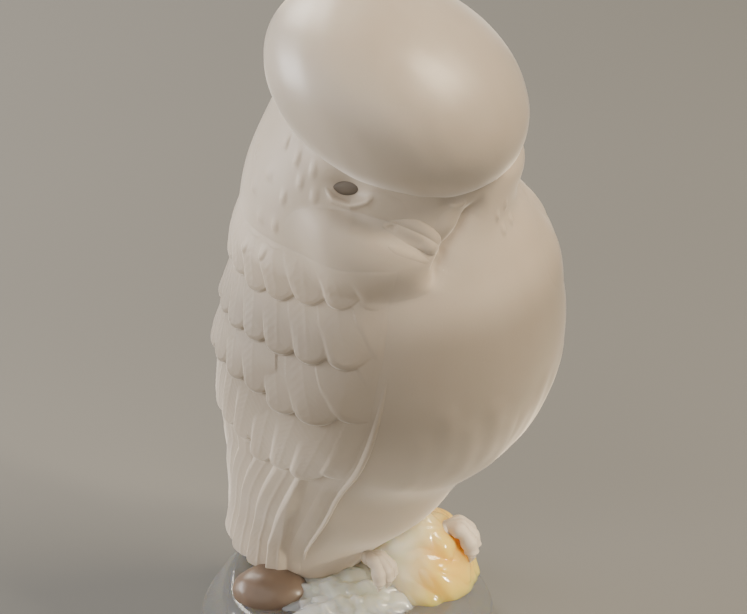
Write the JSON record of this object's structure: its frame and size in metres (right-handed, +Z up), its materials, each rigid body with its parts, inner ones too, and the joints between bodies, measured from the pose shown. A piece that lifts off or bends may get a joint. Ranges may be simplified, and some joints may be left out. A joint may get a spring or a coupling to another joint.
{
  "type": "crystal bird figurine",
  "caption": "Satin crystal parrot-like bird, head bowed and turned aside, wings folded, perched on a clear rock over a round flaring plinth.",
  "frame": {"origin": "centre of the plinth's flat underside", "axes": "+Z up through the plinth; the breast faces -Y; the bird's own right side is -X"},
  "size_m": [0.0618, 0.0684, 0.142],
  "materials": {
    "satin_crystal": "frosted satin",
    "clear_crystal": "polished",
    "amber_crystal": "polished",
    "smoky_crystal": "polished",
    "eye_crystal": "polished"
  },
  "bodies": {
    "root": {"plinth": "clear_crystal", "rock_mound": "clear_crystal", "rock_boulder": "amber_crystal", "tail_stone": "smoky_crystal", "torso": "satin_crystal", "crown": "satin_crystal", "cheek_right": "satin_crystal", "cheek_left": "satin_crystal", "beak_upper": "satin_crystal", "beak_lower": "satin_crystal", "eye_right": "eye_crystal", "eye_left": "eye_crystal", "eye_ring_right": "satin_crystal", "eye_ring_left": "satin_crystal", "shoulder_right": "satin_crystal", "shoulder_left": "satin_crystal", "coverts_right": "satin_crystal", "coverts_left": "satin_crystal", "secondaries_right": "satin_crystal", "secondaries_left": "satin_crystal", "primaries_right": "satin_crystal", "primaries_left": "satin_crystal", "flank_ridge_right": "satin_crystal", "flank_ridge_left": "satin_crystal", "tail": "satin_crystal", "foot_right": "clear_crystal", "foot_left": "clear_crystal"}
  },
  "joints": []
}
